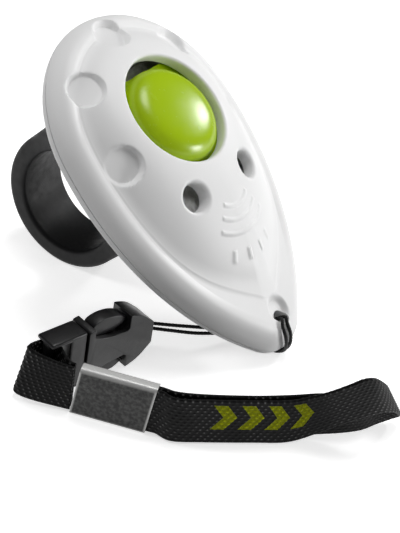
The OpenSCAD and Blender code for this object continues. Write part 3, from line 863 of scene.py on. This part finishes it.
def cords():
    """The hitch round the nose and the two strands from it to the buckle."""
    gap = CORD_D / 2 + 0.08
    hitch = [(CORD_X, 0, -5.4, gap), (CORD_X, 0, 2.2, gap), (CORD_X + 0.1, -0.3, 4.2, gap),
             (CORD_X + 0.45, -0.8, 5.0, 0.7), over_nose(90, -1.5, 0.85), over_nose(65, -1.7, 0.9),
             over_nose(40, -1.4, 0.8), over_nose(15, -0.6, 0.62), over_nose(-10, 0, 0.48),
             over_nose(-35, 0, gap), over_nose(-65, 0, gap), (CORD_X + 1.5, 0, -5.4, gap)]
    for k, s in enumerate((-1, 1)):
        pts = [CASE @ Vector((x, y + s * half, z)) for x, y, z, half in hitch]
        node = None if k else "cord_hitch"
        braid(pts, "cord_hitch_%d" % k, "case", CASE.to_3x3() @ Vector((0, 1, 0)), node)
    hole = CASE @ Vector((CORD_X - 0.6, 0, -5.4))
    start = hole + Vector((-0.4, -CORD_D / 2 - gap - 0.3, -0.2))
    end = BAR + (TAIL - 0.25) * Vector((math.cos(BUCKLE_YAW), math.sin(BUCKLE_YAW), 0))
    mid = (start + end) / 2
    for k, s in enumerate((-1, 1)):
        pts = [start + Vector((0, 0, s * gap)),
               mid.lerp(start, 0.5) + Vector((0.3, 0, s * (gap + 0.12) - 0.1)),
               mid + Vector((0.6, 0, s * (gap + 0.3) - 0.15)),
               mid.lerp(end, 0.5) + Vector((0.4, 0, s * (gap + 0.2) - 0.1)),
               end + Vector((0, 0, s * (gap + 0.12)))]
        node = None if k else "cord_strands"
        braid(pts, "cord_strand_%d" % k, "cord", (0, 0, 1), node)


# ---- buckle
def socket():
    upper = rounded([(MOUTH, 5.5), (MOUTH + 0.7, 6.1), (12, HALF_W), (16.5, 6.1), (18.5, 5.7),
                     (20.5, 4.8), (22.2, 3.4), (TAIL - 0.1, 2.5), (TAIL, 1.9)])
    points = upper + [(x, -y) for x, y in upper[::-1]]
    ob = prism("socket_body", points[::-1], HALF_T)
    cutters = [box("cutter", MOUTH - 1, 17.4, 5.1, 1.6), box("cutter", 20.5, 25, 1.35, 0.8)]
    slot = [(8.8, 6.9), (8.8, 4.4), (9.4, 3.9), (12.5, 3.1), (16.6, 2.8), (17.2, 3.3), (17.2, 6.9)]
    for s in (-1, 1):
        cutters.append(prism("cutter", [(x, s * y) for x, y in slot], HALF_T + 1))
    cut(ob, cutters)
    bevel(ob, 0.42)
    sharpen(ob, 40)
    place(ob, "buckle", "buckle_socket")


def plug():
    block = box("plug_block", -1, MOUTH - 0.15, HALF_W, HALF_T - 0.3)
    cut(block, [box("cutter", -3, 3.4, 5.2, 5)])
    bevel(block, 0.5, 4)
    sharpen(block, 40)
    turn = BUCKLE @ Matrix.Rotation(-math.pi / 2, 4, "X")
    rings = lathe([(0.9, -5.5), (1.0, -5.3), (1.0, 5.3), (0.9, 5.5)], 40)
    bar = mesh_object("plug_bar", skin(rings, False), MAT["plastic"], turn)
    points = [(MOUTH - 1, -1), (15.4, -1), (15.7, -0.6), (15.7, 0.6), (15.4, 1), (MOUTH - 1, 1)]
    tongue = prism("plug_tongue", points, 1.1)
    bevel(tongue, 0.2, 2)
    place(block, "buckle", "buckle_plug")
    place(bar, "buckle")
    place(tongue, "buckle")


def latch_arm(side, body, node):
    """One spring arm of the plug, with the grip that fills the socket's slot."""
    grip = rounded([(17.1, 5.2), (15.7, 6.0), (13.6, 6.65), (11.4, 6.75), (9.6, 6.25), (9.05, 5.5)])
    points = [(MOUTH - 0.05, 2.9), (14.2, 3.4), (16.2, 4.2)] + grip + [(9.2, 5.0), (MOUTH - 0.05, 4.8)]
    ob = prism(node + "_grip", [(x, side * y) for x, y in points], HALF_T - 1.25)
    bevel(ob, 0.28)
    sharpen(ob, 40)
    place(ob, body, node)


# ---- webbing
def weave_height(u, v):
    """Relief of the threads at u mm along and v mm across the webbing."""
    row = math.floor(v / WEAVE_ROW)
    across = math.sin(math.pi * (v / WEAVE_ROW - row))
    along = 0.5 + 0.5 * math.cos(2 * math.pi * (u / WEAVE_STEP - WEAVE_SHIFT * row))
    return THREAD_H * across ** 2 * along ** 1.5


def woven_ring(low, up, width, side, u):
    """Points and (along, across) values round one cross-section.

    The second face's values along start at 500, which keeps the motif off it.
    """
    across = 64
    half = WEB_T / 2 - THREAD_H
    ring = []
    pairs = []
    for face in (-1, 1):
        for j in range(across + 1):
            f = j / across
            v = (f if face < 0 else 1 - f) * width
            edge = min(1.0, min(v, width - v) / 0.35)
            h = half * math.sqrt(max(1 - (1 - edge) ** 2, 0.12)) + weave_height(u, v) * edge
            ring.append(low + up * v + side * face * h)
            pairs.append((u if face < 0 else u + 500.0, v))
    return ring, pairs


def woven(name, lows, highs, material, node):
    """Ribbon between two edges with woven relief on both faces."""
    low, at = resample(lows, 0.2)
    high = points_at(highs, lengths(lows), at)
    n = len(low)
    rings = []
    uvs = []
    for i in range(n):
        a, b = max(i - 2, 0), min(i + 2, n - 1)
        t = ((low[b] - low[a]) + (high[b] - high[a])).normalized()
        up = high[i] - low[i]
        width = up.length
        up = up / width
        ring, pairs = woven_ring(low[i], up, width, up.cross(t).normalized(), at[i])
        rings.append(ring)
        uvs += pairs
    ob = mesh_object(name, skin(rings, False), material, uvs=uvs)
    place(ob, "strap", node)


CRIMP_AT = Vector((30.3, -42, 0.4))
CRIMP_DIR = turned(CRIMP_YAW)
CRIMP_END = CRIMP_AT + CRIMP_L * CRIMP_DIR
CRIMP_SIDE = LAYER * turned(CRIMP_YAW + 90)

# the wrist loop's lower edge from the crimp round and back, with the lean of the webbing in x and y
NEAR = [((49.2, -36.8, 0.4), (0, 0)), ((53.8, -32.9, 0.3), (0, 0)), ((60.2, -27.1, 0.25), (0, 0)),
        ((65.2, -22.3, 0.2), (-0.05, -0.03)), ((68.8, -18.8, 2), (-0.07, -0.15)),
        ((71.6, -17, 4.4), (-0.09, -0.26)), ((73.9, -15.6, 6.2), (-0.1, -0.26)),
        ((76, -13.6, 7.4), (-0.15, -0.28)), ((77.8, -10.6, 7.4), (-0.2, -0.36)),
        ((78.8, -6.8, 5.4), (-0.25, -0.44)), ((78.9, -3.6, 2.6), (-0.26, -0.48)),
        ((77.4, -3.2, 0.9), (-0.25, -0.46))]
FAR = [((75.6, -6, 0.25), (-0.2, -0.38)), ((74.1, -9.6, 0.2), (-0.13, -0.26)),
       ((71.6, -13, 0.2), (-0.08, -0.16)), ((68, -16.9, 0.2), (-0.05, -0.06)), ((64.2, -21.2, 0.2), (0, 0)),
       ((59.3, -26.2, 0.25), (0, 0)), ((52.9, -31.8, 0.3), (0, 0)), ((48.4, -35.2, 0.4), (0, 0))]


def wrist_loop():
    into = CRIMP_AT + 1.5 * CRIMP_DIR
    out = CRIMP_END + (CRIMP_SKEW + 0.9) * CRIMP_DIR
    ends = [(p - CRIMP_SIDE, (0, 0)) for p in (into, CRIMP_END, out)]
    back = [(p + CRIMP_SIDE, (0, 0)) for p in (out, CRIMP_END, into)]
    low = []
    high = []
    for point, (lean_x, lean_y) in ends + NEAR + FAR + back:
        up = Vector((lean_x, lean_y, math.sqrt(1 - lean_x ** 2 - lean_y ** 2)))
        low.append(Vector(point))
        high.append(Vector(point) + WEB_W * up)
    woven("wrist_loop", catmull(low, 12), catmull(high, 12), MAT["strap"], "wrist_webbing")


def buckle_loop():
    """From the crimp round the plug's bar and back; the slack fold on the way leans outwards."""
    foot = BAR - Vector((0, 0, WEB_W / 2))
    wrap = 1 + 0.2 + WEB_T / 2
    bulge = Vector((20.6, -44.3, foot.z))
    path = cubic(CRIMP_AT - CRIMP_SIDE, -CRIMP_DIR, bulge, turned(75), 3.5, 18)
    path += cubic(bulge, turned(75), foot + wrap * turned(165), turned(75), 1.5, 8)[1:]
    path += [foot + wrap * turned(a) for a in range(155, 80, -10)]
    path += cubic(foot + wrap * turned(74), turned(-16), CRIMP_AT + CRIMP_SIDE, CRIMP_DIR, 2.2, 16)
    lean = Vector((0.7, 0.72, 0))
    lows = []
    highs = []
    for i, p in enumerate(path):
        fold = math.sin(math.pi * min(i / 25, 1)) ** 2
        lows.append(p - lean * 0.8 * fold)
        highs.append(p + lean * 1.7 * fold + Vector((0, 0, WEB_W)))
    woven("buckle_loop", lows, highs, MAT["web"], "buckle_webbing")


# ---- crimp
def crimp_section():
    """(y, z) round the outside and the inside of the rolled sheet, with the same count of points."""
    outer_r, inner_r = 0.85, 0.3
    half = LAYER + WEB_T / 2 + 0.05
    outer = []
    inner = []
    for k, (y_sign, top) in enumerate(((1, 1), (-1, 1), (-1, 0), (1, 0))):
        for i in range(7):
            a = math.pi / 2 * (k + i / 6)
            c, s = math.cos(a), math.sin(a)
            z = CRIMP_H - outer_r if top else outer_r
            outer.append((y_sign * (half + 0.35 - outer_r) + outer_r * c, z + outer_r * s))
            z = CRIMP_H - 0.4 - inner_r if top else 0.37 + inner_r
            inner.append((y_sign * (half - inner_r) + inner_r * c, z + inner_r * s))
    return outer, inner


def crimp():
    """Sheet metal rolled round both layers of webbing and pressed flat, with shallow dents along it."""
    outer, inner = crimp_section()
    n = 60
    start = 0.15
    rings = []
    roughness_glint_and_edge_tone = []
    for i in range(n + 1):
        x = start + CRIMP_L * i / n
        end = min(i, n - i) / n * CRIMP_L
        flare = 0.16 * math.exp(-end / 0.5)
        wave = 0.5 + 0.5 * math.cos(2 * math.pi * (x - start) / (CRIMP_L / 5))
        ring = []
        for y, z in outer:
            near = min(z, CRIMP_H - z)
            # first stored value: lighter towards the top and bottom edges and the two ends, a little lighter
            # all over inside
            roughness_glint_and_edge_tone.append((max(1 - smoothstep((near - 0.3) / 0.5), 1 - smoothstep(end / 0.5)), 0))
            mid = smoothstep((near - 0.7) / 1.2)
            outwards = math.copysign(1, y) * (flare - 0.14 * wave) * mid
            ring.append((x + CRIMP_SKEW * z / CRIMP_H, y + outwards, z))
        rings.append(ring)
    for i in range(n, -1, -1):
        x = start + CRIMP_L * i / n
        rings.append([(x + CRIMP_SKEW * z / CRIMP_H, y, z) for y, z in inner])
    roughness_glint_and_edge_tone += [(0.2, 0)] * (len(inner) * (n + 1))
    at = Matrix.Translation((CRIMP_AT.x, CRIMP_AT.y, 0)) @ Matrix.Rotation(math.radians(CRIMP_YAW), 4, "Z")
    ob = mesh_object("crimp_sleeve", skin(rings, True), MAT["crimp"], at, roughness_glint_and_edge_tone)
    sharpen(ob, 50)
    place(ob, "strap", "strap_crimp")


# ---- CAD nodes that show as they are
def finish_cad():
    looks = {"click_leaf": "leaf", "leaf_root": "leaf", "leaf_clamp": "plate", "clamp_screws": "screw",
             "case_screws": "screw", "ring_plate": "plate", "ring_screws": "screw", "cord_ferrule": "ferrule"}
    for node, look in looks.items():
        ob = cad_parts[node]
        if not ob.material_slots:
            ob.data.materials.append(None)
        for s in ob.material_slots:
            s.material = MAT[look]


# ---- stage
def ground():
    """Wide square at floor height."""
    size = 4000
    corners = [(-size, -size, 0), (size, -size, 0), (size, size, 0), (-size, size, 0)]
    mesh_object("floor", (corners, [(0, 1, 2, 3)]), floor_material())


def studio_light():
    """Even white light that reflections see more faintly."""
    world = bpy.data.worlds.new("studio")
    world.use_nodes = True
    nt = world.node_tree
    background = nt.nodes["Background"]
    background.inputs["Color"].default_value = grey(1)
    path = nt.nodes.new("ShaderNodeLightPath")
    dim = math_node(nt, "MULTIPLY", path.outputs["Is Glossy Ray"], -0.2)
    nt.links.new(math_node(nt, "ADD", dim, 0.28), background.inputs["Strength"])
    bpy.context.scene.world = world
    bpy.context.scene.view_settings.view_transform = "Standard"


def lamp(name, at, aim, size, power):
    """A round lamp, this many mm across."""
    data = bpy.data.lights.new(name, "AREA")
    data.shape = "DISK"
    data.size = size * MM
    data.energy = power
    ob = bpy.data.objects.new(name, data)
    bpy.context.scene.collection.objects.link(ob)
    ob.location = (Vector(at) - FLOOR) * MM
    ob.rotation_euler = (Vector(aim) - Vector(at)).to_track_quat("-Z", "Y").to_euler()
    return ob


def camera():
    """The view that the scene is shown from."""
    data = bpy.data.cameras.new("camera")
    data.sensor_fit = "HORIZONTAL"
    data.sensor_width = 36
    data.lens = 128.4
    data.clip_start = 0.01
    data.clip_end = 20
    ob = bpy.data.objects.new("camera", data)
    bpy.context.scene.collection.objects.link(ob)
    right = Vector((0.82625, 0.54533, 0.14117))
    up = Vector((-0.41109, 0.41240, 0.81298))
    back = Vector((0.38512, -0.72976, 0.56492))
    at = Vector((139.65, -208.62, 171.93))
    ob.matrix_world = Matrix.Translation((at - FLOOR) * MM) @ Matrix((right, up, back)).transposed().to_4x4()
    bpy.context.scene.camera = ob


def stage():
    ground()
    studio_light()
    lamp("key", (445, 250, 85), (20, 0, 25), 140, 1.1)
    lamp("glint", (150, 405, 226), (-5, 0, 47), 50, 0.5)
    lamp("top", (0, 90, 520), (20, 0, 15), 220, 0.95)
    lamp("rim", (-330, -230, 330), (0, 0, 25), 120, 0.5).visible_glossy = False
    camera()


top_shell()
back_shell()
button()
finger_ring()
cords()
socket()
plug()
latch_arm(1, "arm_upper", "latch_arm_upper")
latch_arm(-1, "arm_lower", "latch_arm_lower")
wrist_loop()
buckle_loop()
crimp()
finish_cad()
stage()
